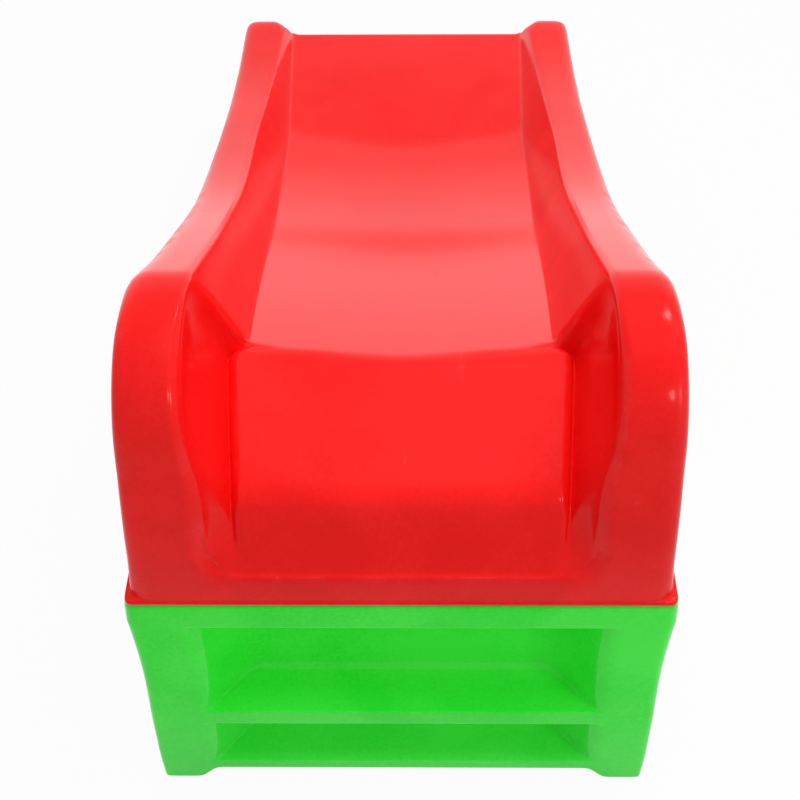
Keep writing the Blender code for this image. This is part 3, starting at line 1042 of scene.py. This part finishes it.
def makeCamera():
    data = bpy.data.cameras.new("camera")
    data.lens = view["lens"]
    data.sensor_width = 36.0
    data.clip_end = 100.0
    camera = bpy.data.objects.new("camera", data)
    camera.location = view["place"]
    turns = ((view["yaw"], "Z"), (90 - view["pitch"], "X"), (view["roll"], "Z"))
    aim = Matrix.Identity(3)
    for degrees, axis in turns:
        aim = aim @ Matrix.Rotation(math.radians(degrees), 3, axis)
    camera.rotation_euler = aim.to_euler()
    scene.collection.objects.link(camera)
    scene.camera = camera


def makeLamps():
    for name, place, target, sizes, power, inGloss in view["lamps"]:
        data = bpy.data.lights.new(name, "AREA")
        data.shape = "RECTANGLE"
        data.size, data.size_y = sizes
        data.energy = power
        lamp = bpy.data.objects.new(name, data)
        lamp.location = place
        lamp.visible_glossy = inGloss
        aim = Vector(target) - Vector(place)
        lamp.rotation_euler = aim.to_track_quat("-Z", "Y").to_euler()
        scene.collection.objects.link(lamp)


def seenShare(tree):
    # 1 for the rays that show the background: from the camera, in gloss and through glass
    fromCamera, inGloss, throughGlass = [
        tree.node("ShaderNodeLightPath", out=number) for number in (0, 3, 6)
    ]
    return fromCamera.orLarger(inGloss).orLarger(throughGlass)


def makeFloor():
    bm = bmesh.new()
    bmesh.ops.create_grid(bm, x_segments=1, y_segments=1, size=view["floorSize"] / 2)
    floor = meshObject("floor", bm)
    finish = Finish(bpy.data.materials.new("floor"))
    matt = finish.node("ShaderNodeBsdfDiffuse", {}, {"Color": (*view["floorColour"], 1.0)})
    white = finish.node("ShaderNodeEmission", {}, {"Color": (1, 1, 1, 1), "Strength": 1.0})
    share = seenShare(finish) * view["floorWhite"]
    mixed = finish.node("ShaderNodeMixShader", {}, {0: share, 1: matt, 2: white})
    finish.node("ShaderNodeOutputMaterial", {}, {0: mixed})
    floor.data.materials.append(finish.owner)


def makeWorld():
    # white near the horizon beyond the run-out, dimmer overhead and behind the camera
    world = bpy.data.worlds.new("surroundings")
    scene.world = world
    tree = Finish(world)
    where = tree.node("ShaderNodeTexCoord", out=0)
    onward = tree.node("ShaderNodeSeparateXYZ", {}, {0: where}, out=1)
    upward = tree.node("ShaderNodeSeparateXYZ", {}, {0: where}, out=2)
    level = onward.between(-0.5, 0.4) * (view["horizon"] - view["horizonFront"])
    level = level + (view["horizonFront"] - view["sky"])
    glow = (1 - upward.between(0.14, 0.42)) * level + view["sky"]
    strength = glow + (1 - glow) * seenShare(tree)
    light = tree.node("ShaderNodeBackground", {}, {0: (1, 1, 1, 1), 1: strength})
    tree.node("ShaderNodeOutputWorld", {}, {0: light})


print("materials")
red = makePlastic("chute red", plastic["red"])
green = makePlastic("base green", plastic["green"])
steel = makeSteel()

print("chute")
chuteMoulding = makeChute()
chuteMoulding.data.materials.append(red)
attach(chuteMoulding, "root")
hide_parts("chute_shell")

print("base")
baseMoulding = makeBase()
baseMoulding.data.materials.append(green)
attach(baseMoulding, "root")
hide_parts("step_base")

print("bolts, washers and nuts")
for name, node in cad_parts.items():
    if name.startswith(("bolt_", "washer_", "nut_")):
        node.data.materials.clear()
        node.data.materials.append(steel)

print("camera, floor and light")
makeCamera()
makeFloor()
makeWorld()
makeLamps()
scene.view_settings.view_transform = "Standard"
